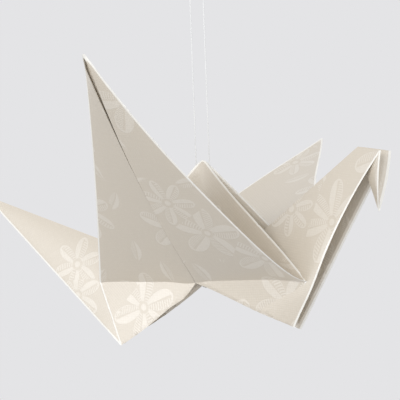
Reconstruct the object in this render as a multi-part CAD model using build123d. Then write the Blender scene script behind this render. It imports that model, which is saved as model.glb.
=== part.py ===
"""Hanging bird folded from one square of paper, on its loop of clear thread.

Millimetres. X runs along the body to the head, Z is up, and the near wing is on -Y.
The origin is the top of the small eye that the thread hangs from.
The bird is worked out about the tip of its back and moved under the eye at the end.
"""
import os
from math import cos, radians, sin, sqrt

from build123d import *

# The sheet
SIDE = 150.0            # side of the square
PAPER = 0.2             # thickness of the embossed paper

# How far each fold has sprung open, from the middle plane
TIP_HALF_WIDTH = 0.9    # half the blunt tip of the back
SPINE_HALF_GAP = 0.4    # between the two gutters' bottoms, at the underside
GUTTER = ((2.0, 0.45), (4.5, 1.1), (10.0, 2.2))    # (distance from the middle, opening)
SHOULDER_OPEN = 3.8     # at both ends of a wing's root
ROOT_OPEN = 3.0         # in the middle of a wing's root
TAIL_CORNER_OPEN = 5.5  # at the body's low corner under the tail
FAR_TAIL_OPEN = -3.2    # the far layers lean past the middle plane there
NECK_CORNER_OPEN = 1.8  # at the low corner under the neck
NECK_BULGE = 2.2        # extra opening of the neck's near half, half way up its front
FAR_NECK_BULGE = -0.2   # the far half is a little hollow instead
LAYER_STEP = 0.75       # from a wing to the strips folded over it
INNER_STEP = 0.35       # from a face of the tail or neck to the strip folded inside it
FOLD_RADIUS = 0.17      # of the round edge where a layer turns inside

# Directions, in degrees from level
TAIL_CREASE = 34.8      # of the reverse folds, below level
NECK_CREASE = 27.0
NEAR_WING_RISE = 48.0
FAR_WING_RISE = 31.0
BEAK_FALL = 73.0

# The wings
NEAR_WING_BOW = (-1.2, 2.4, 4.2)    # of the edge towards the tail, the middle and the other edge,
FAR_WING_BOW = (1.5, 0.5, -2.0)     # below the straight lines from their ends to the wing's tip
WING_TIP_HALF_WIDTH = 0.4
SEAM_HALF_GAP = 0.15    # between the raw edges of the strips, at the root
SEAM_SHIFT = -1.6       # of the seam's root end, along the body
SEAM_TIP_GAP = 0.45     # how much more that gap opens towards the tip
WING_STEPS = 8

# The head
NECK_LENGTH = 54.7      # along the spine to the head's fold
HEAD_WIDTH = 7.5        # of the head's fold, along the body
HEAD_DROP = 1.6
HEAD_OPEN = 3.0
BEAK_LENGTH = 17.0

# The thread
THREAD = 0.3            # its diameter
STRAND_SPACING = 4.0    # between its two strands
NEEDLE_HOLE = 0.8       # diameter of the holes in the fold under the gutters
TURN_DROP = 2.0         # how far the thread hangs below the underside
KNOT_HEIGHT = 50.0      # above the tip
SPREAD_BELOW_KNOT = 6.0 # the strands run side by side from here down
KNOT_TURNS = 4
EYE_HEIGHT = 7.0        # from the knot to the inside of the eye
EYE_WIDTH = 3.6

STRAND_TOP = KNOT_HEIGHT - SPREAD_BELOW_KNOT
ROOT_HALF = SIDE * (sqrt(2) - 1) / 2      # half a wing's root, and the depth of the body
LIMB = SIDE / 2                           # wing, neck or tail, from the underside to its corner
EYE_ABOVE_TIP = KNOT_HEIGHT + EYE_HEIGHT


def gutter_opening(x):
    """Half the opening of the gutter between the near and far layers, at a distance from the middle."""
    steps = ((SPINE_HALF_GAP, 0.0),) + GUTTER + ((ROOT_HALF, SHOULDER_OPEN),)
    for (x0, y0), (x1, y1) in zip(steps, steps[1:]):
        if x <= x1:
            return y0 + (y1 - y0) * (x - x0) / (x1 - x0)
    return SHOULDER_OPEN


def along(a, b, share):
    return a + (b - a) * share


def raw_end(way):
    """From the middle of a wing's root to where the raw edge of a strip crosses it."""
    return Vector(way * SEAM_HALF_GAP + SEAM_SHIFT, -0.8 * LAYER_STEP, -0.6 * LAYER_STEP)


def meet(a, a_length, b, b_length, y, lower):
    """The point at that y, at the given distances from two points."""
    ra = sqrt(a_length ** 2 - (a.Y - y) ** 2)
    rb = sqrt(b_length ** 2 - (b.Y - y) ** 2)
    span = Vector(b.X - a.X, 0, b.Z - a.Z)
    reach = (ra ** 2 - rb ** 2 + span.length ** 2) / (2 * span.length)
    across = Vector(-span.Z, 0, span.X).normalized() * sqrt(ra ** 2 - reach ** 2)
    middle = Vector(a.X, y, a.Z) + span.normalized() * reach
    return min((middle + across, middle - across), key=lambda p: p.Z if lower else -p.Z)


def plate(points, triangles):
    """Closed paper plate to both sides of a surface of triangles that all turn the same way."""
    normals = [Vector(0, 0, 0) for _ in points]
    for i, j, k in triangles:
        normal = (points[j] - points[i]).cross(points[k] - points[i]).normalized()
        for corner in (i, j, k):
            normals[corner] += normal
    top = [p + n.normalized() * (PAPER / 2) for p, n in zip(points, normals)]
    low = [p - n.normalized() * (PAPER / 2) for p, n in zip(points, normals)]
    sides = [side for i, j, k in triangles for side in ((i, j), (j, k), (k, i))]
    corners = [(top[i], top[j], top[k]) for i, j, k in triangles]
    corners += [(low[k], low[j], low[i]) for i, j, k in triangles]
    for a, b in sides:
        if (b, a) not in sides:
            corners += [(low[a], low[b], top[b]), (low[a], top[b], top[a])]
    return Solid(Shell([Face(Wire.make_polygon(list(c), close=True)) for c in corners]))


def round_fold(points):
    """Eight-sided rods along a fold that is pressed flat, each a little past both its ends."""
    rods = []
    for a, b in zip(points, points[1:]):
        ahead = (b - a).normalized()
        section = Plane(a - ahead * FOLD_RADIUS, z_dir=ahead) * RegularPolygon(FOLD_RADIUS, 8)
        rods.append(extrude(section, (b - a).length + 2 * FOLD_RADIUS, dir=ahead).solid())
    return rods


def fan(centre, rim):
    """Plate of triangles from one point to each side of a line of points."""
    return plate([centre] + rim, [(0, i, i + 1) for i in range(1, len(rim))])


def net(rows):
    """Plate through rows of points, all rows of one length."""
    wide = len(rows[0])
    triangles = []
    for r in range(len(rows) - 1):
        for c in range(wide - 1):
            a = r * wide + c
            triangles += [(a, a + 1, a + wide + 1), (a, a + wide + 1, a + wide)]
    return plate([p for row in rows for p in row], triangles)


class Limb:
    """Near half of the tail (way -1) or the neck (way 1), with the body layers that it hangs from."""

    def __init__(self, way, crease, corner_open, end=None):
        angle = radians(crease)
        fold = ROOT_HALF * sin(radians(67.5)) / sin(radians(112.5) - angle)
        shoulder_to_corner = ROOT_HALF * sin(angle) / sin(radians(112.5) - angle)
        self.way = way
        self.corner_open = corner_open
        self.tip = Vector(way * TIP_HALF_WIDTH, 0, 0)
        self.shoulder = Vector(way * ROOT_HALF, -SHOULDER_OPEN, -ROOT_HALF)
        self.fork = Vector(way * SPINE_HALF_GAP, 0, -ROOT_HALF)
        self.corner = meet(self.fork, fold, self.shoulder, shoulder_to_corner, -corner_open, True)
        front = sqrt(fold ** 2 + LIMB ** 2 - 2 * fold * LIMB * sin(angle))
        self.end = end or meet(self.fork, LIMB, self.corner, front, 0, False)
        self.root = Vector(0, -ROOT_OPEN, -ROOT_HALF)
        self.raw = self.root + raw_end(way)

    def ridge(self, x):
        return Vector(self.way * x, -gutter_opening(x), -x)

    def crease(self, x):
        """Point of the reverse fold below the gutter."""
        share = (x - SPINE_HALF_GAP) / (abs(self.corner.X) - SPINE_HALF_GAP)
        point = along(self.fork, self.corner, share)
        opening = along(gutter_opening(x), self.corner_open, (x / self.corner.X) ** 2)
        return Vector(point.X, -opening, point.Z)

    def ridges(self):
        return [self.ridge(x) for x, _ in GUTTER[1:]]

    def creases(self):
        return [self.crease(x) for x, _ in GUTTER[1:]]

    def crest(self):
        return [self.tip] + self.ridges() + [self.shoulder]

    def body_layers(self):
        """Gutter wall and outer layer."""
        floor = [self.fork] + self.creases() + [self.corner]
        return [net([self.crest(), floor]), plate([self.shoulder, self.raw, self.corner], [(0, 1, 2)])]

    def inner_strip(self, reach):
        """Strip folded inside the limb. It passes under the reverse fold, up to a place on the front fold."""
        start = self.crease(GUTTER[1][0] * 0.75)
        hem = start + Vector(0, INNER_STEP, -INNER_STEP)
        return [plate([self.raw, hem, self.corner], [(0, 1, 2)]),
                plate([hem, reach, self.corner], [(0, 1, 2)])] + round_fold([self.raw, self.corner])


def hump(tail_limb, neck_limb):
    return fan(neck_limb.root, tail_limb.crest()[::-1] + neck_limb.crest())


def tail(limb):
    face = fan(limb.end, [limb.fork] + limb.creases() + [limb.corner])
    strip = limb.inner_strip(along(limb.corner, limb.end, 0.85))
    return limb.body_layers() + [face] + strip + round_fold([limb.corner, limb.end])


def neck(limb, bulge):
    poll = along(limb.fork, limb.end, NECK_LENGTH / LIMB)
    brow = poll + Vector(HEAD_WIDTH, -HEAD_OPEN, -HEAD_DROP)
    beak = poll + Vector(cos(radians(BEAK_FALL)), 0, -sin(radians(BEAK_FALL))) * BEAK_LENGTH
    front = [limb.corner]
    for share in (0.25, 0.5, 0.75):
        front.append(along(limb.corner, brow, share) - Vector(0, 4 * share * (1 - share) * bulge, 0))
    front.append(brow)
    spine = [along(limb.fork, poll, share) for share in (0.25, 0.5, 0.75, 1)]
    lower = fan(spine[0], [limb.fork] + limb.creases() + [limb.corner, front[1]])
    upper = net([spine, front[1:]])
    inside = Vector(0, INNER_STEP, 0)
    hem = [along(f, s, 0.55) + inside for f, s in zip(front[1:], spine)]
    strip = limb.inner_strip(hem[0]) + [plate([limb.corner, hem[0], front[1]], [(0, 1, 2)]),
                                        net([hem, front[1:]])]
    cheek = plate([poll, beak, brow], [(0, 1, 2)])
    lining = plate([hem[-1], along(brow, beak, 0.85), brow], [(0, 1, 2)])
    return limb.body_layers() + [lower, upper, cheek, lining] + strip + round_fold(front + [beak])


def wing(rise, bow):
    """One wing on the -Y side, with the two strips folded over its outer side."""
    angle = radians(rise)
    chord = LIMB * (1 - 8 / 3 * (bow[1] / LIMB) ** 2)
    root = Vector(0, -ROOT_OPEN, -ROOT_HALF)
    tip = root + Vector(0, -cos(angle), sin(angle)) * chord
    outward = Vector(0, -sin(angle), -cos(angle))
    stop = 1 - WING_TIP_HALF_WIDTH / ROOT_HALF
    levels = [stop * i / WING_STEPS for i in range(WING_STEPS + 1)]

    def place(level, x, step):
        """Point of the wing that is x from its middle line, step out from its surface."""
        u = x / (ROOT_HALF * (1 - level))
        base = along(root, Vector(ROOT_HALF if x > 0 else -ROOT_HALF, -SHOULDER_OPEN, -ROOT_HALF), abs(u))
        across = bow[0] * u * (u - 1) / 2 + bow[1] * (1 - u * u) + bow[2] * u * (u + 1) / 2
        bend = 4 * level * (1 - level) * across
        return along(base, tip, level) + outward * (bend + step)

    leaf = [[place(level, ROOT_HALF * (1 - level) * share, 0) for share in (-1, -0.5, 0, 0.5, 1)]
            for level in levels]
    pieces = [net(leaf)]
    for way in (-1, 1):
        rows = []
        for level in levels:
            wide = ROOT_HALF * (1 - level)
            raw = SEAM_HALF_GAP + SEAM_TIP_GAP * level ** 2
            if wide - raw < 3 * PAPER:
                break
            step = LAYER_STEP * (1 - raw / wide)
            edge = way * raw + SEAM_SHIFT * (1 - level)
            row = [place(level, way * wide, 0), place(level, (way * wide + edge) / 2, step / 2),
                   place(level, edge, step)]
            rows.append(row if way < 0 else row[::-1])
        rows[0][2 if way < 0 else 0] = root + raw_end(way)
        pieces.append(net(rows))
    return pieces


def folded_sheet():
    """The whole bird: one sheet, so one solid."""
    near_tail = Limb(-1, TAIL_CREASE, TAIL_CORNER_OPEN)
    far_tail = Limb(-1, TAIL_CREASE, FAR_TAIL_OPEN, near_tail.end)
    limb = Limb(1, NECK_CREASE, NECK_CORNER_OPEN)
    near = [hump(near_tail, limb)] + tail(near_tail) + neck(limb, NECK_BULGE)
    near += wing(NEAR_WING_RISE, NEAR_WING_BOW)
    far = [hump(far_tail, limb)] + tail(far_tail) + neck(limb, FAR_NECK_BULGE)
    far += wing(FAR_WING_RISE, FAR_WING_BOW)
    far = [piece.mirror(Plane.XZ) for piece in far]
    bird = near[0].fuse(*near[1:], *far)
    holes = [Pos(way * STRAND_SPACING / 2, 0, -ROOT_HALF) * Cylinder(NEEDLE_HOLE / 2, 3.75 * NEEDLE_HOLE)
             for way in (-1, 1)]
    return Solid(max(bird.cut(*holes).shells(), key=lambda shell: shell.area))


def tube(path, size):
    return sweep(Plane(path @ 0, z_dir=path % 0) * Circle(size / 2), path=path)


def hanging_thread():
    """One thread: both strands, the turn under the body, the knot and the eye."""
    side = THREAD / 2
    half = STRAND_SPACING / 2
    turn = -ROOT_HALF - TURN_DROP
    wide = EYE_WIDTH / 2
    top = EYE_ABOVE_TIP + THREAD / 2
    shoulder = KNOT_HEIGHT + 0.5 * EYE_HEIGHT
    with BuildLine(Plane.XZ) as loop:
        FilletPolyline((-side, KNOT_HEIGHT), (-half, STRAND_TOP), (-half, turn), (half, turn), (half, STRAND_TOP),
                       (side, KNOT_HEIGHT), radius=half * 0.98)
    with BuildLine(Plane.XZ) as eye:
        FilletPolyline((-side, KNOT_HEIGHT), (-wide, shoulder), (-wide, top), (wide, top), (wide, shoulder),
                       (side, KNOT_HEIGHT), radius=wide * 0.98)
    low = KNOT_HEIGHT - KNOT_TURNS * THREAD / 2
    outline = [(0, low)]
    for i in range(KNOT_TURNS):
        outline += [(1.5 * THREAD, low + i * THREAD), (2 * THREAD, low + (i + 0.5) * THREAD)]
    outline += [(1.5 * THREAD, low + KNOT_TURNS * THREAD), (0, low + KNOT_TURNS * THREAD)]
    knot = revolve(Plane.XZ * make_face(Polyline(*outline, close=True)), Axis.Z)
    return tube(loop.line, THREAD) + tube(eye.line, THREAD) + knot


os.makedirs("parts", exist_ok=True)
under_eye = Pos(0, 0, -EYE_ABOVE_TIP)
export_step(under_eye * folded_sheet(), "parts/folded_sheet.step")
export_step(under_eye * hanging_thread(), "parts/hanging_thread.step")
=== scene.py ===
from math import cos, exp, pi, radians, sin, sqrt

import bmesh
import bpy
from mathutils import Matrix, Vector


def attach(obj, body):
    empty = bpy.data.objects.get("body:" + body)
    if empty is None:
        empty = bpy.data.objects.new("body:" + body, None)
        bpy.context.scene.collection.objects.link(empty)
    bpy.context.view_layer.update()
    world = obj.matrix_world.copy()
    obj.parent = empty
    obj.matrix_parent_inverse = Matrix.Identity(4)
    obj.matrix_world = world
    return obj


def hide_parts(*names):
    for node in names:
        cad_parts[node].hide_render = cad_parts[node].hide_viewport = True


# Hanging bird folded from one embossed paper square, on a loop of clear thread.
# Shapes are worked out in millimetres about the tip of the back.
# placeInFrame then makes them metres under the thread's eye.

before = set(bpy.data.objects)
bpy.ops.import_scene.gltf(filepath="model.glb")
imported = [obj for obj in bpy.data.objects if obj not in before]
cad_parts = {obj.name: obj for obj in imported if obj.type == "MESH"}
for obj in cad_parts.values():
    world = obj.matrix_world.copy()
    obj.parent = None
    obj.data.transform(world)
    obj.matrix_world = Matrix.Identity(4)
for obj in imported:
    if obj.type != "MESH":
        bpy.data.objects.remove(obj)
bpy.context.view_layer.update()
bpy.context.scene.view_settings.view_transform = "Standard"
print("frame loaded")

eyeAboveTip = 57.0
placeInFrame = Matrix.Scale(0.001, 4) @ Matrix.Translation((0, 0, -eyeAboveTip))


def newObject(name, data, material=None):
    obj = bpy.data.objects.new(name, data)
    bpy.context.scene.collection.objects.link(obj)
    if material:
        data.materials.append(material)
    return obj


def lerp(a, b, share):
    return a + (b - a) * share


def clamp(x, low=0.0, high=1.0):
    return max(low, min(high, x))


# camera

cameraSet = {
    "place": (232.389, -393.387, -17.611),
    "yaw": 30.708,          # degrees, from looking along +Y
    "pitch": 0.921,
    "roll": -2.163,
    "focalPixels": 1756.57,
    "picturePixels": 400,
}


def makeCamera(c):
    data = bpy.data.cameras.new("camera")
    data.sensor_width = 36.0
    data.lens = c["focalPixels"] / c["picturePixels"] * data.sensor_width
    data.clip_start = 0.01
    data.clip_end = 20
    camera = newObject("camera", data)
    yaw, pitch, roll = (radians(c[k]) for k in ("yaw", "pitch", "roll"))
    ahead = Vector((-sin(yaw) * cos(pitch), cos(yaw) * cos(pitch), sin(pitch)))
    level = Vector((cos(yaw), sin(yaw), 0))
    upright = level.cross(ahead)
    right = cos(roll) * level + sin(roll) * upright
    up = cos(roll) * upright - sin(roll) * level
    turn = Matrix((right, up, -ahead)).transposed().to_4x4()
    camera.matrix_world = Matrix.Translation(placeInFrame @ Vector(c["place"])) @ turn
    bpy.context.scene.camera = camera


makeCamera(cameraSet)
print("camera placed")


# materials: a socket that Python's operators work on

class Value:
    def __init__(self, finish, output):
        self.finish = finish
        self.output = output

    def maths(self, operation, *values):
        return self.finish.node("ShaderNodeMath", {"operation": operation}, values)

    def __add__(self, other):
        return self.maths("ADD", self, other)

    def __sub__(self, other):
        return self.maths("SUBTRACT", self, other)

    def __rsub__(self, other):
        return self.maths("SUBTRACT", other, self)

    def __mul__(self, other):
        return self.maths("MULTIPLY", self, other)

    def __truediv__(self, other):
        return self.maths("DIVIDE", self, other)

    def __abs__(self):
        return self.maths("ABSOLUTE", self)

    __radd__ = __add__
    __rmul__ = __mul__

    def sine(self):
        return self.maths("SINE", self)

    def least(self, other):
        return self.maths("MINIMUM", self, other)

    def most(self, other):
        return self.maths("MAXIMUM", self, other)

    def power(self, other):
        return self.maths("POWER", self, other)

    def ramp(self, low, high):
        # 0 below low and 1 above high, eased between
        settings = {"interpolation_type": "SMOOTHSTEP"}
        return self.finish.node("ShaderNodeMapRange", settings, {0: self, 1: low, 2: high})

    def part(self, name):
        # X, Y or Z of a vector, or the same of a colour
        return self.finish.node("ShaderNodeSeparateXYZ", None, (self,), name)

    def twin(self, name):
        # another output of the same node
        return Value(self.finish, self.output.node.outputs[name])


class Finish:
    # the nodes of a new material or world

    def __init__(self, owner):
        self.owner = owner
        owner.use_nodes = True
        self.tree = owner.node_tree
        self.tree.nodes.clear()

    def node(self, kind, settings=None, values=(), output=0):
        made = self.tree.nodes.new(kind)
        for key, value in (settings or {}).items():
            setattr(made, key, value)
        pairs = values.items() if isinstance(values, dict) else enumerate(values)
        for key, value in pairs:
            if isinstance(value, Value):
                self.tree.links.new(value.output, made.inputs[key])
            else:
                made.inputs[key].default_value = value
        return Value(self, made.outputs[output]) if made.outputs else None

    def colour(self, factor, first, second):
        settings = {"data_type": "RGBA", "blend_type": "MIX"}
        return self.node("ShaderNodeMix", settings, {0: factor, 6: first, 7: second}, 2)

    def done(self, shader, output="ShaderNodeOutputMaterial"):
        self.node(output, None, (shader,))
        return self.owner


def linear(red, green, blue):
    # a colour as a picture gives it, 0 to 255, as Blender's shaders take it
    shown = [part / 255 for part in (red, green, blue)]
    return (*(p / 12.92 if p < 0.04045 else ((p + 0.055) / 1.055) ** 2.4 for p in shown), 1.0)


paperSet = {
    "side": 150.0,
    "ground": linear(216, 206, 190),
    "motif": linear(229, 221, 208),
    # painted highlight: a near-white colour along the folds stands in for the light that their rounded
    # edges catch; the next entry says how far it reaches from a fold's line
    "foldHighlight": linear(254, 252, 246),
    "highlightReach": (0.3, 0.56),            # from a fold's line, full to none
    "linenPitch": 0.62,
    "patternFrom": (37.0, 91.0, 0.0),
    "flowerPitch": 23.0,
    "flowerRadius": (7.0, 11.0),
    "petals": (5, 7),
    "petalDepth": 0.72,             # of the notch between petals, as a share of the radius
    "heart": (1.4, 1.8),            # edge of the ring about the flower's middle
    "dot": (0.7, 1.0),              # edge of the dot in the ring
    "leafPitch": 12.0,
    "leafHalf": (4.6, 1.7),
    "leafCurl": 0.02,
    "leafShare": 0.7,               # of the places that have a leaf
    "hatchPitch": 0.66,
    "clouded": 0.3,                 # how much of the motif comes and goes
    "shown": (0.1, 0.9),            # the weave and the grain in the colour
    "raised": (0.25, 0.8, 1.2),     # the weave, the grain and the motif in the relief
    "roughness": (0.38, 0.31),      # ground, motif
    "embossHeight": 0.00003,
}

rootHalf = paperSet["side"] * (sqrt(2) - 1) / 2     # half of a wing's width at its root
limbLength = paperSet["side"] / 2                   # from there to the tip, as along neck and tail


def cellSpot(f, spot, pitch, scatter):
    # place from the middle of its cell, and the cell's three chances
    cell = f.node("ShaderNodeTexVoronoi", {"voronoi_dimensions": "2D"},
                  {"Vector": spot, "Scale": 1 / pitch, "Randomness": scatter}, "Position")
    away = f.node("ShaderNodeVectorMath", {"operation": "SUBTRACT"}, (spot, cell))
    chance = cell.twin("Color")
    return away.part("X"), away.part("Y"), [chance.part(axis) for axis in "XYZ"]


def flowers(f, spot, c):
    # scattered blossoms: each petal is plain on one half and hatched on the other
    x, y, chance = cellSpot(f, spot, c["flowerPitch"], 0.75)
    reach = (x * x + y * y).power(0.5)
    fewest, most = c["petals"]
    petals = x.maths("FLOOR", chance[0] * (most - fewest + 0.99)) + fewest
    turned = x.maths("ARCTAN2", y, x) * petals + chance[1] * (2 * pi)
    small, large = c["flowerRadius"]
    radius = chance[2] * (large - small) + small
    lobe = ((turned + pi / 2).sine() * 0.5 + 0.5).power(0.45)
    limit = radius * (lobe * c["petalDepth"] + (1 - c["petalDepth"]))
    inside = (limit - reach).ramp(0.0, 0.5)
    heart = reach.ramp(*c["heart"])
    rim = 1 - abs(limit - reach - 0.35).ramp(0.12, 0.4)
    vein = abs((turned / 2).sine()).ramp(0.06, 0.14)
    hatch = ((reach + x * 0.15) * (2 * pi / c["hatchPitch"])).sine().ramp(-0.5, 0.5)
    half = turned.sine().ramp(-0.1, 0.1)
    plain = half + (1 - half) * hatch
    dot = 1 - reach.ramp(*c["dot"])
    petal = (inside * heart * vein * plain).most(rim * heart).most(dot)
    return petal, 1 - (reach - radius).ramp(0.2, 1.4)


def leaves(f, spot, c):
    # single leaves between the flowers, hatched on one half
    x, y, chance = cellSpot(f, spot, c["leafPitch"], 0.9)
    turn = chance[0] * (2 * pi)
    upright, across = turn.sine(), (turn + pi / 2).sine()
    along, wide = x * across + y * upright, y * across - x * upright
    long, broad = c["leafHalf"]
    curled = wide + along * along * c["leafCurl"]
    limit = (1 - (along / long) * (along / long)).most(0) * broad
    inside = (limit - abs(curled)).ramp(0.0, 0.4)
    rib = abs(curled).ramp(0.12, 0.3)
    hatch = ((along + abs(curled)) * (2 * pi / c["hatchPitch"])).sine().ramp(-0.6, 0.4)
    half = curled.ramp(-0.1, 0.1)
    kept = chance[1].ramp(1 - c["leafShare"], 1.02 - c["leafShare"])
    return inside * rib * (half + (1 - half) * hatch) * kept


def foldLines(f, x, y):
    # distance from the nearest of the long folds; x and y are along the sheet's diagonals
    a, b = abs(x), abs(y)
    high, low = a.most(b), a.least(b)
    along = abs((low - rootHalf) * limbLength + (high - rootHalf) * rootHalf)
    edge = along / sqrt(limbLength ** 2 + rootHalf ** 2)
    ridge = abs(a - b) / sqrt(2) + (a - rootHalf).most(0) * 9      # past the hump it counts as far
    return edge.least(ridge)


def paperFinish(c):
    f = Finish(bpy.data.materials.new("embossed_paper"))
    sheet = f.node("ShaderNodeUVMap", {"uv_map": "sheet"})
    spot = f.node("ShaderNodeVectorMath", {"operation": "SCALE"}, {0: sheet, 3: c["side"]})
    moved = f.node("ShaderNodeVectorMath", {"operation": "ADD"}, (spot, c["patternFrom"]))
    petal, disc = flowers(f, moved, c)
    motif = petal.most(leaves(f, moved, c) * (1 - disc))
    # linen weave, and the paper's own unevenness
    u, v = spot.part("X"), spot.part("Y")
    weave = 2 * pi / c["linenPitch"]
    grain = f.node("ShaderNodeTexNoise", None, {"Vector": spot, "Scale": 1.1, "Detail": 4.0}, 0)
    threads = (u * weave + grain * 5).sine() + (v * weave + grain * 5).sine()
    cloud = f.node("ShaderNodeTexNoise", None, {"Vector": spot, "Scale": 0.045, "Detail": 2.0}, 0)
    half = c["side"] / 2
    line = foldLines(f, (u - v) / sqrt(2), (u + v - 2 * half) / sqrt(2))
    # painted highlight along the folds, where the rounded fold edges would catch light
    foldHighlight = 1 - line.ramp(*c["highlightReach"])
    weaveShown, grainShown = c["shown"]
    shown = motif * (1 - c["clouded"] + c["clouded"] * cloud)
    shown = shown + threads * weaveShown + (grain - 0.5) * grainShown
    tint = f.colour(shown, c["ground"], c["motif"])
    # lay the painted fold highlight over the paper's colour
    tint = f.colour(foldHighlight, tint, c["foldHighlight"])
    ground, glossy = c["roughness"]
    weaveRaised, grainRaised, motifRaised = c["raised"]
    height = threads * weaveRaised + grain * grainRaised + motif * motifRaised
    normal = f.node("ShaderNodeBump", None,
                    {"Strength": 0.6, "Distance": c["embossHeight"], "Height": height})
    shader = f.node("ShaderNodeBsdfPrincipled", None, {
        "Base Color": tint,
        "Roughness": motif * (glossy - ground) + ground,
        "Specular IOR Level": 1.0,
        "Coat Weight": motif * 0.25 + 0.75,
        "Coat Roughness": 0.3,
        "Coat IOR": 1.7,
        "Normal": normal,
    })
    return f.done(shader)


threadSet = {
    "diameter": 0.3,
    "strand": 2.0,          # each strand's distance from the middle
    "turnDrop": 2.0,        # below the paper's underside
    "strandTop": 44.0,
    "knotHeight": 50.0,
    "knotTurns": 4,
    "knotPitch": 1.6,       # in radii of the thread
    "knotRadius": 2.6,      # the same
    "knotTilt": 0.06,
    "eyeHalf": 1.8,
    "eyeMiddle": 53.5,
    "tint": linear(248, 249, 250),
    "roughness": 0.22,
    "refraction": 1.53,
    "alpha": 0.85,
}


def threadFinish(c):
    f = Finish(bpy.data.materials.new("clear_nylon"))
    shader = f.node("ShaderNodeBsdfPrincipled", None, {
        "Base Color": c["tint"],
        "Roughness": c["roughness"],
        "IOR": c["refraction"],
        "Alpha": c["alpha"],
    })
    return f.done(shader)


# thread

def routeCurve(name, points, radius, material):
    # smooth line through the thread's route, round in section
    curve = bpy.data.curves.new(name, "CURVE")
    curve.dimensions = "3D"
    curve.resolution_u = 16
    curve.bevel_depth = radius * 0.001
    curve.bevel_resolution = 3
    curve.use_fill_caps = True
    spline = curve.splines.new("NURBS")
    spline.points.add(len(points) - 1)
    for point, (x, z) in zip(spline.points, points):
        point.co = (*(placeInFrame @ Vector((x, 0, z))), 1)
    spline.order_u = 3
    spline.use_endpoint_u = True
    return newObject(name, curve, material)


def makeThread(c, material):
    radius = c["diameter"] / 2
    side, half = radius, c["strand"]
    knot, top = c["knotHeight"], c["strandTop"]
    turn = -rootHalf - c["turnDrop"]
    nearTurn, nearTop = 2 * half, knot - top
    loop = routeCurve("thread_loop", [
        (-side, knot), (-half, top), (-half, top - nearTop), (-half, turn + nearTurn), (-half, turn),
        (half, turn), (half, turn + nearTurn), (half, top - nearTop), (half, top), (side, knot),
    ], radius, material)
    wide = c["eyeHalf"]
    eyeTop = eyeAboveTip + radius
    eye = routeCurve("thread_eye", [
        (-side, knot), (-wide, c["eyeMiddle"]), (-wide, eyeTop), (wide, eyeTop),
        (wide, c["eyeMiddle"]), (side, knot),
    ], radius, material)
    return loop, eye


def makeKnot(c, material):
    # close turns of the thread about its two strands
    shape = bmesh.new()
    radius = c["diameter"] / 2
    for i in range(c["knotTurns"]):
        height = c["knotHeight"] + (i - (c["knotTurns"] - 1) / 2) * c["knotPitch"] * radius
        ring = bmesh.ops.create_circle(shape, segments=12, radius=radius)["verts"]
        bmesh.ops.rotate(shape, verts=ring, matrix=Matrix.Rotation(radians(90), 3, "X"))
        bmesh.ops.translate(shape, verts=ring, vec=(c["knotRadius"] * radius, 0, height))
        edges = list(dict.fromkeys(edge for vert in ring for edge in vert.link_edges))
        bmesh.ops.spin(shape, geom=ring + edges, cent=(0, 0, height), axis=(c["knotTilt"], 0, 1),
                       angle=2 * pi, steps=32, use_merge=True)
    bmesh.ops.remove_doubles(shape, verts=shape.verts, dist=1e-4)
    bmesh.ops.recalc_face_normals(shape, faces=shape.faces)
    bmesh.ops.transform(shape, matrix=placeInFrame, verts=shape.verts)
    mesh = bpy.data.meshes.new("thread_knot")
    shape.to_mesh(mesh)
    shape.free()
    mesh.shade_smooth()
    return newObject("thread_knot", mesh, material)


nylon = threadFinish(threadSet)
thread, eye = makeThread(threadSet, nylon)
knot = makeKnot(threadSet, nylon)
for piece in (thread, eye, knot):
    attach(piece, "root")
    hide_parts("hanging_thread")
print("thread made")


# the folded sheet

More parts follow.
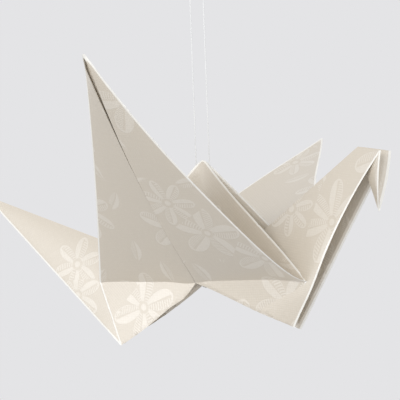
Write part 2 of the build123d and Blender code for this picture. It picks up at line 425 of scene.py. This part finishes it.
foldSet = {
    "cells": 150,
    "paper": 0.2,
    "foldRound": 0.3,                   # how far the roundness of a flat fold reaches
    "sharpFrom": 32.0,                  # degrees between faces, from which an edge shows
    "tipRadius": 1.9,
    # (distance from the middle, opening) along the top of the hump
    "ridge": ((0.0, 0.0), (0.9, 0.0), (2.0, 0.45), (4.5, 1.1), (10.0, 2.2), (rootHalf, 3.8)),
    "rootOpen": 3.0,
    "shoulderOpen": 3.8,
    "forkGap": 0.4,
    "crease": {-1: 34.8, 1: 27.0},      # degrees; -1 is the tail's side, 1 the neck's
    # by limb, then by side: -1 the near side, 1 the far one
    "cornerOpen": {-1: {-1: 5.5, 1: -3.2}, 1: {-1: 1.8, 1: 1.8}},
    "rise": {-1: 48.0, 1: 31.0},        # -1 is the near wing, 1 the far one
    # below straight lines to the tip: the edge towards the tail, the middle, the other edge
    "bow": {-1: (-1.2, 2.4, 4.2), 1: (-0.3, 0.5, -1.0)},
    "rootDip": {-1: 2.0, 1: 0.0},       # of the edge towards the neck, near the wing's root
    "rootDipAt": 0.12,
    "layerStep": 0.75,                  # from a wing to the raw edges of the strips over it
    "rootStep": 0.3,                    # the same at the root
    "innerStep": {-1: 0.35, 1: 0.9},    # from a near or far face to the strip inside it
    # where the hand-folded sheet leaves the plan: side, middle, reach and move
    "nudges": (
        (-1, (31.0, -3.8, -31.3), 5.0, (0.0, 0.0, -0.75)),
        (-1, (25.9, -1.8, -43.6), 5.0, (0.0, 0.0, 0.75)),
        (-1, (-4.0, -3.6, -35.0), 3.0, (0.0, 0.0, -1.2)),
        (1, (0.0, 66.5, 7.0), 12.0, (1.3, 0.0, 0.0)),
        (1, (9.0, 42.0, -9.0), 10.0, (-1.0, 0.0, 0.0)),
    ),
    "bodySag": {-1: 1.1, 1: 0.0},       # of the body's lower edge, under tail and neck
    "leastGap": 0.06,                   # of the strips inside from the middle plane
    "foldTurn": 0.8,                    # width of the turn at the folds under the body
    "foldBand": 0.9,                    # width of the unpressed edge of the folds inside
    "seamGap": 0.05,                    # from the wing's middle line to each strip's raw edge
    "seamTipGap": 1.1,                  # how much more at the wing's tip
    "seamShift": -1.6,                  # of the seam's root end, along the body
    "neckLength": 54.7,
    "headWidth": 7.5,
    "headDrop": 1.4,
    "headOpen": 3.0,
    "beakLength": 17.0,
    "beakFall": 73.0,
    "neckBulge": {-1: 2.2, 1: -0.2},
    "frontPull": {-1: 1.0, 1: 0.2},     # of the neck's front edge, back towards the body
    "tailBulge": 1.1,
    "headBulge": 1.0,
    "headLean": 3.0,                    # of the beak towards the near side
}

corner = paperSet["side"] / sqrt(2)         # from the sheet's middle to its corners
onLine = 0.01                               # nearer than this, a point counts as on a fold


def pairLine(a, b, point):
    # signed distance of a flat point from the line through a and b
    along = (b - a).normalized()
    return along.x * (point.y - a.y) - along.y * (point.x - a.x)


def mirrored(a, b, point):
    along = (b - a).normalized()
    away = Vector((-along.y, along.x))
    return point - 2 * away * (point - a).dot(away)


def shares(a, b, c, point):
    # barycentric shares of a flat point in a triangle
    full = (b - a).cross(c - a)
    second = (point - a).cross(c - a) / full
    third = (b - a).cross(point - a) / full
    return 1 - second - third, second, third


def stepped(steps, x):
    for (x0, y0), (x1, y1) in zip(steps, steps[1:]):
        if x <= x1:
            return lerp(y0, y1, clamp((x - x0) / (x1 - x0)))
    return steps[-1][1]


def softStepped(steps, x):
    # the same, with its corners eased
    reach = min(2.0, 0.45 * x, 0.45 * max(0.0, steps[-1][0] - x))
    return (stepped(steps, x - reach) + 2 * stepped(steps, x) + stepped(steps, x + reach)) / 4


def meet(a, aLength, b, bLength, y, lower):
    # the point at that y, at the given distances from two points
    ra = sqrt(aLength ** 2 - (a.y - y) ** 2)
    rb = sqrt(bLength ** 2 - (b.y - y) ** 2)
    span = Vector((b.x - a.x, 0, b.z - a.z))
    reach = (ra ** 2 - rb ** 2 + span.length ** 2) / (2 * span.length)
    across = Vector((-span.z, 0, span.x)).normalized() * sqrt(ra ** 2 - reach ** 2)
    middle = Vector((a.x, y, a.z)) + span.normalized() * reach
    return min((middle + across, middle - across), key=lambda p: p.z if lower else -p.z)


flat = {
    "middle": Vector((0, 0)),
    "shoulder": Vector((rootHalf, rootHalf)),
    "raw": Vector((corner / 2, corner / 2)),
    "wing": Vector((0, corner)),
    "limb": Vector((corner, 0)),
    "fork": Vector((rootHalf, 0)),
}


class Fold:
    # a quarter of the sheet, folded on the side of +X and +Y

    def __init__(self, c, way, side):
        self.c, self.way, self.side = c, way, side
        angle = radians(c["crease"][way])
        foldLength = rootHalf * sin(radians(67.5)) / sin(radians(112.5) - angle)
        down = rootHalf * sin(angle) / sin(radians(112.5) - angle)
        self.flatCorner = flat["shoulder"] + (flat["limb"] - flat["shoulder"]).normalized() * down
        self.fork = Vector((c["forkGap"], 0, -rootHalf))
        shoulder = Vector((rootHalf, c["shoulderOpen"], -rootHalf))
        self.corner = meet(self.fork, foldLength, shoulder, down, c["cornerOpen"][way][side], True)
        frontLength = (flat["limb"] - self.flatCorner).length
        nearCorner = meet(self.fork, foldLength, shoulder, down, c["cornerOpen"][way][-1], True)
        self.end = meet(self.fork, limbLength, nearCorner, frontLength, 0, False)
        rise = radians(c["rise"][side])
        # a bowed wing's tip is nearer its root
        chord = limbLength * (1 - 8 / 3 * (c["bow"][side][1] / limbLength) ** 2)
        self.wingTip = Vector((0, c["rootOpen"] + cos(rise) * chord, -rootHalf + sin(rise) * chord))
        self.outward = Vector((0, sin(rise), -cos(rise)))
        if way > 0:
            self.poll = lerp(self.fork, self.end, c["neckLength"] / limbLength)
            self.brow = self.poll + Vector((c["headWidth"], c["headOpen"], -c["headDrop"]))
            fall = radians(c["beakFall"])
            self.beak = self.poll + Vector((cos(fall), 0, -sin(fall))) * c["beakLength"]
            self.flatPoll = lerp(flat["fork"], flat["limb"], c["neckLength"] / limbLength)
            browShare = (self.brow - self.corner).length / frontLength
            self.flatBrow = lerp(self.flatCorner, flat["limb"], browShare)

    def place(self, a, b):
        # where a point of the flat quarter goes
        point = Vector((a, b))
        if b >= a:
            if b <= rootHalf:
                return self.hump(a, b)
            if pairLine(flat["shoulder"], flat["wing"], point) >= 0:
                return self.wing(a, (b - rootHalf) / limbLength, 0)
            return self.wingStrip(mirrored(flat["shoulder"], flat["wing"], point))
        if a <= rootHalf or pairLine(flat["shoulder"], flat["limb"], point) <= 0:
            if pairLine(flat["fork"], self.flatCorner, point) >= 0:
                return self.gutterWall(point)
            fork, front, end = shares(flat["fork"], self.flatCorner, flat["limb"], point)
            return self.face(front / max(1e-9, fork + front), end)
        if pairLine(flat["raw"], self.flatCorner, point) <= onLine:
            shoulder, raw, low = shares(flat["shoulder"], flat["raw"], self.flatCorner, point)
            return self.bodyEdge(raw / max(1e-9, shoulder + raw), low)
        raw, front, end = shares(flat["raw"], self.flatCorner, flat["limb"], point)
        return self.innerStrip(front / max(1e-9, raw + front), end)

    def ridge(self, x):
        drop = -x * x / sqrt(x * x + self.c["tipRadius"] ** 2)
        return Vector((x, softStepped(self.c["ridge"], x), drop))

    def rootY(self, share):
        return lerp(self.c["rootOpen"], self.c["shoulderOpen"], share ** 1.5)

    def hump(self, a, b):
        if b < 1e-6:
            return self.ridge(0)
        edge = self.ridge(b)
        middle = self.c["rootOpen"] * b / rootHalf
        return Vector((a, lerp(middle, edge.y, (a / b) ** 1.5), edge.z))

    def wing(self, x, level, step):
        wide = rootHalf * (1 - level)
        share = clamp(x / max(wide, 1e-6))
        u = share * self.way
        tailEdge, middle, otherEdge = self.c["bow"][self.side]
        bend = tailEdge * u * (u - 1) / 2 + middle * (1 - u * u) + otherEdge * u * (u + 1) / 2
        bend *= 4 * level * (1 - level)
        dipAt = self.c["rootDipAt"]
        bend += self.c["rootDip"][self.side] * max(0.0, u) ** 3 * level / dipAt * exp(1 - level / dipAt)
        base = Vector((x, lerp(self.rootY(share), self.wingTip.y, level),
                       lerp(-rootHalf, self.wingTip.z, level)))
        return base + self.outward * (bend + step)

    def wingStrip(self, point):
        level = (point.y - rootHalf) / limbLength
        wide = rootHalf * (1 - level)
        inner = 1 - clamp(point.x / max(wide, 1e-6))
        gap = self.c["seamGap"] + self.c["seamTipGap"] * level ** 5
        gap = min(gap, wide * 0.5) + self.way * self.c["seamShift"] * (1 - level)
        step = lerp(self.c["rootStep"], self.c["layerStep"], clamp(4 * level))
        return self.wing(point.x + gap * inner, level, step * inner)

    def rootEdge(self, share):
        return self.wingStrip(Vector((rootHalf * (1 - share), rootHalf)))

    def bodyEdge(self, share, low):
        # share runs from the shoulder to the raw edge, low from the wing's root to the corner
        sag = 4 * low * (1 - low) * share ** 2 * self.c["bodySag"][self.way]
        return lerp(self.rootEdge(share), self.corner, low) - Vector((0, 0, sag))

    def floor(self, share):
        place = lerp(self.fork, self.corner, share)
        opening = softStepped(self.c["ridge"], place.x) - softStepped(self.c["ridge"], self.fork.x)
        return Vector((place.x, lerp(opening, self.corner.y, (place.x / self.corner.x) ** 2), place.z))

    def gutterWall(self, point):
        # the point's shares across and down the flat wall, by Newton's steps
        across, down = 0.5, 0.5
        for _ in range(12):
            top = flat["shoulder"] * across
            low = lerp(flat["fork"], self.flatCorner, across)
            miss = lerp(top, low, down) - point
            dAcross = lerp(flat["shoulder"], self.flatCorner - flat["fork"], down)
            dDown = low - top
            full = dAcross.cross(dDown)
            across -= miss.cross(dDown) / full
            down -= dAcross.cross(miss) / full
        across, down = clamp(across), clamp(down)
        return lerp(self.ridge(across * rootHalf), self.floor(across), down)

    def face(self, share, end, leaning=1):
        # share runs from the spine to the front fold, end from the reverse fold to the corner
        if self.way < 0:
            bulge = 4 * share * (1 - share) * (1 - end) * self.c["tailBulge"]
            return lerp(self.floor(share), self.end, end) + Vector((0, bulge * min(1, 8 * end), 0))
        start = lerp(flat["fork"], self.flatCorner, share)
        ahead = flat["limb"] - start
        head = self.flatBrow - self.flatPoll
        turnAt = (self.flatPoll - start).cross(head) / ahead.cross(head)
        turnPoint = start + ahead * turnAt
        across = (turnPoint - self.flatPoll).length / head.length
        turn = lerp(self.poll, self.brow, across)
        if end > turnAt:
            down = (end - turnAt) / (1 - turnAt)
            bulge = 4 * down * (1 - down) * across * self.c["headBulge"]
            lean = -self.side * self.c["headLean"] * sin(down * pi / 2) * leaning
            return lerp(turn, self.beak, down) + Vector((0.5 * abs(lean), bulge + lean, 0))
        # 4 and 6.75 bring the peaks of these two curves to 1
        along = end / turnAt
        bulge = 4 * along * (1 - along) * self.c["neckBulge"][self.side] * share ** 1.5
        pull = 6.75 * along * along * (1 - along) * self.c["frontPull"][self.side] * share ** 3
        return lerp(self.floor(share), turn, along) + Vector((-pull, bulge, 0))

    def innerStrip(self, share, end):
        kept = lerp(self.c["leastGap"], 1, share)
        inside = self.face(kept, end)
        middle = inside.y - self.face(kept, end, 0).y
        fromFold = (1 - share) * (1 - end) * (self.flatCorner - flat["raw"]).length
        lift = self.c["innerStep"][self.side] * clamp(fromFold / self.c["foldBand"])
        inside.y = max(middle + self.c["leastGap"], inside.y - lift)
        if share > 0.999:
            inside = self.face(1, end)
        outside = self.bodyEdge(1, share)
        fromTurn = end * abs(pairLine(flat["raw"], self.flatCorner, flat["limb"]))
        turned = clamp(fromTurn / self.c["foldTurn"])
        if turned >= 1:
            return inside
        start = self.floor(share)
        return inside + (outside - start) * (1 - turned)


def creaseLines(folds):
    # flat lines, in the quarter on the side of +X and +Y, with the sides that they belong to
    lines = [(flat["middle"], flat["shoulder"], (-1, 1)), (flat["shoulder"], flat["wing"], (-1, 1)),
             (flat["shoulder"], flat["limb"], (-1, 1))]
    for way in (-1, 1):
        fold = folds[way, -1]
        lines += [(flat["fork"], fold.flatCorner, (way,)), (flat["raw"], fold.flatCorner, (way,))]
    neck = folds[1, -1]
    hidden = mirrored(flat["shoulder"], flat["limb"], neck.flatPoll)
    lines += [(neck.flatPoll, neck.flatBrow, (1,)), (hidden, neck.flatBrow, (1,))]
    return lines


def foldOut(vert, placed):
    # the way that the paper's front side faces at a vertex; at a sharp fold, out along the fold
    normal, outward, full = Vector(), Vector(), 0
    sides = []
    here = placed[vert.index]
    for face in vert.link_faces:
        spots = [placed[v.index] for v in face.verts]
        area = Vector()
        for a, b in zip(spots[1:], spots[2:]):
            area += (a - spots[0]).cross(b - spots[0])
        away = here - sum(spots, Vector()) / len(spots)
        normal += area
        outward += away * area.length
        full += area.length
        sides.append((area, away))
    if full == 0 or normal.length > 0.5 * full:
        return normal.normalized()
    convex = sum(-a.dot(other) for a, _ in sides for _, other in sides)
    return outward.normalized() * (-1 if convex > 0 else 1)


def sheetCuts(c, folds):
    # flat lines to cut the sheet's grid along: a place, a normal, and how far the cuts lie from it
    cuts = [(flat["middle"], Vector(normal), (0,)) for normal in ((1, 0), (0, 1))]
    cuts += [(Vector((0, way * rootHalf)), Vector((0, 1)), (0,)) for way in (-1, 1)]
    for start, stop, ways in creaseLines(folds):
        offsets = (0,)
        if flat["shoulder"] in (start, stop) and flat["middle"] not in (start, stop):
            offsets = (-c["foldBand"], -c["foldRound"], 0, c["foldRound"], c["foldBand"])
        elif flat["raw"] in (start, stop):
            offsets = (-c["foldTurn"], 0, c["foldTurn"])
        for way in ways:
            for side in (-1, 1):
                a, b = Vector((start.x * way, start.y * side)), Vector((stop.x * way, stop.y * side))
                cuts.append((a, Vector((a.y - b.y, b.x - a.x)).normalized(), offsets))
    return cuts


def flatSheet(c, folds):
    # the square with its corners on X and Y, cut along its folds, with its UV map
    shape = bmesh.new()
    bmesh.ops.create_grid(shape, x_segments=c["cells"], y_segments=c["cells"], size=limbLength)
    eighth = Matrix.Rotation(radians(45), 3, "Z")
    bmesh.ops.rotate(shape, verts=shape.verts, matrix=eighth)
    for place, normal, offsets in sheetCuts(c, folds):
        for offset in offsets:
            everything = shape.verts[:] + shape.edges[:] + shape.faces[:]
            bmesh.ops.bisect_plane(shape, geom=everything, dist=1e-4, plane_no=normal.to_3d(),
                                   plane_co=(place + normal * offset).to_3d())
    back = eighth.inverted()
    uv = shape.loops.layers.uv.new("sheet")
    for face in shape.faces:
        for loop in face.loops:
            spot = back @ loop.vert.co
            loop[uv].uv = (spot.x / paperSet["side"] + 0.5, spot.y / paperSet["side"] + 0.5)
    shape.verts.index_update()
    return shape


def foldedSpot(c, folds, co):
    way = -1 if co.x < 0 else 1
    side = -1 if co.y < 0 else 1
    spot = folds[way, side].place(abs(co.x), abs(co.y))
    spot = Vector((spot.x * way, spot.y * side, spot.z))
    for nudged, middle, reach, move in c["nudges"]:
        if nudged == side:
            away = (spot - Vector(middle)).length / reach
            spot = spot + Vector(move) * exp(-away * away / 2)
    return spot


def thicken(shape, placed, paper):
    # the paper's two sides, half its thickness out from the places of the fold
    facing = [foldOut(vert, placed) for vert in shape.verts]
    number = shape.verts.layers.int.new("number")
    for vert in shape.verts:
        vert[number] = vert.index
    everything = shape.verts[:] + shape.edges[:] + shape.faces[:]
    front = bmesh.ops.extrude_face_region(shape, geom=everything, use_keep_orig=True)["geom"]
    front = {item for item in front if isinstance(item, bmesh.types.BMVert)}
    for vert in shape.verts:
        i = vert[number]
        vert.co = placed[i] + facing[i] * (paper / 2 if vert in front else -paper / 2)
    bmesh.ops.recalc_face_normals(shape, faces=shape.faces)


def makeSheet(c, material):
    folds = {(way, side): Fold(c, way, side) for way in (-1, 1) for side in (-1, 1)}
    shape = flatSheet(c, folds)
    thicken(shape, [foldedSpot(c, folds, vert.co) for vert in shape.verts], c["paper"])
    shape.normal_update()
    for face in shape.faces:
        face.smooth = True
    for edge in shape.edges:
        if len(edge.link_faces) == 2 and edge.calc_face_angle(0) > radians(c["sharpFrom"]):
            edge.smooth = False
    bmesh.ops.transform(shape, matrix=placeInFrame, verts=shape.verts)
    mesh = bpy.data.meshes.new("folded_sheet_paper")
    shape.to_mesh(mesh)
    shape.free()
    return newObject("folded_sheet_paper", mesh, material)


paper = makeSheet(foldSet, paperFinish(paperSet))
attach(paper, "root")
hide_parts("folded_sheet")
print("sheet folded:", len(paper.data.polygons), "faces")


# floor, backdrop and lights

studioSet = {
    "floorHeight": -0.26,
    "floorHalf": 0.9,
    "backdrop": linear(228, 228, 230),
    "floor": linear(206, 206, 207),
    "floorGloss": 0.1,
    "fill": 0.67,
    "aim": (0, 0, -0.08),
    # place, width, height and power
    "lamps": {
        "front_window": ((0.0, -1.03, 0.28), 0.8, 0.4, 3.8),
        "left_panel": ((-0.56, -0.93, -0.1), 0.36, 0.7, 1.6),
        "right_rim": ((1.02, -0.3, 0.1), 0.7, 0.7, 1.7),
    },
}


def makeFloor(c):
    shape = bmesh.new()
    bmesh.ops.create_grid(shape, x_segments=1, y_segments=1, size=c["floorHalf"])
    bmesh.ops.translate(shape, verts=shape.verts, vec=(0, 0, c["floorHeight"]))
    mesh = bpy.data.meshes.new("floor")
    shape.to_mesh(mesh)
    shape.free()
    f = Finish(bpy.data.materials.new("floor_grey"))
    shader = f.node("ShaderNodeBsdfPrincipled", None, {
        "Base Color": c["floor"],
        "Roughness": 0.9,
        "Specular IOR Level": c["floorGloss"],
    })
    return newObject("floor", mesh, f.done(shader))


def makeWorld(c):
    # the backdrop is what the camera and gloss see, and the fill lights the paper
    f = Finish(bpy.data.worlds.new("studio"))
    shows = f.node("ShaderNodeLightPath", output="Is Camera Ray")
    shows = shows.most(shows.twin("Is Glossy Ray")).most(shows.twin("Is Transmission Ray"))
    fill = f.node("ShaderNodeBackground", None, {0: (1, 1, 1, 1), 1: c["fill"]})
    seen = f.node("ShaderNodeBackground", None, {0: c["backdrop"]})
    mixed = f.node("ShaderNodeMixShader", None, {0: shows, 1: fill, 2: seen})
    bpy.context.scene.world = f.done(mixed, "ShaderNodeOutputWorld")


def areaLight(name, place, aim, width, height, power):
    data = bpy.data.lights.new(name, "AREA")
    data.shape = "RECTANGLE"
    data.size = width
    data.size_y = height
    data.energy = power
    lamp = newObject(name, data)
    lamp.location = place
    lamp.rotation_euler = (Vector(aim) - Vector(place)).to_track_quat("-Z", "Y").to_euler()


makeFloor(studioSet)
makeWorld(studioSet)
for name, (place, width, height, power) in studioSet["lamps"].items():
    areaLight(name, place, studioSet["aim"], width, height, power)
print("studio lit")
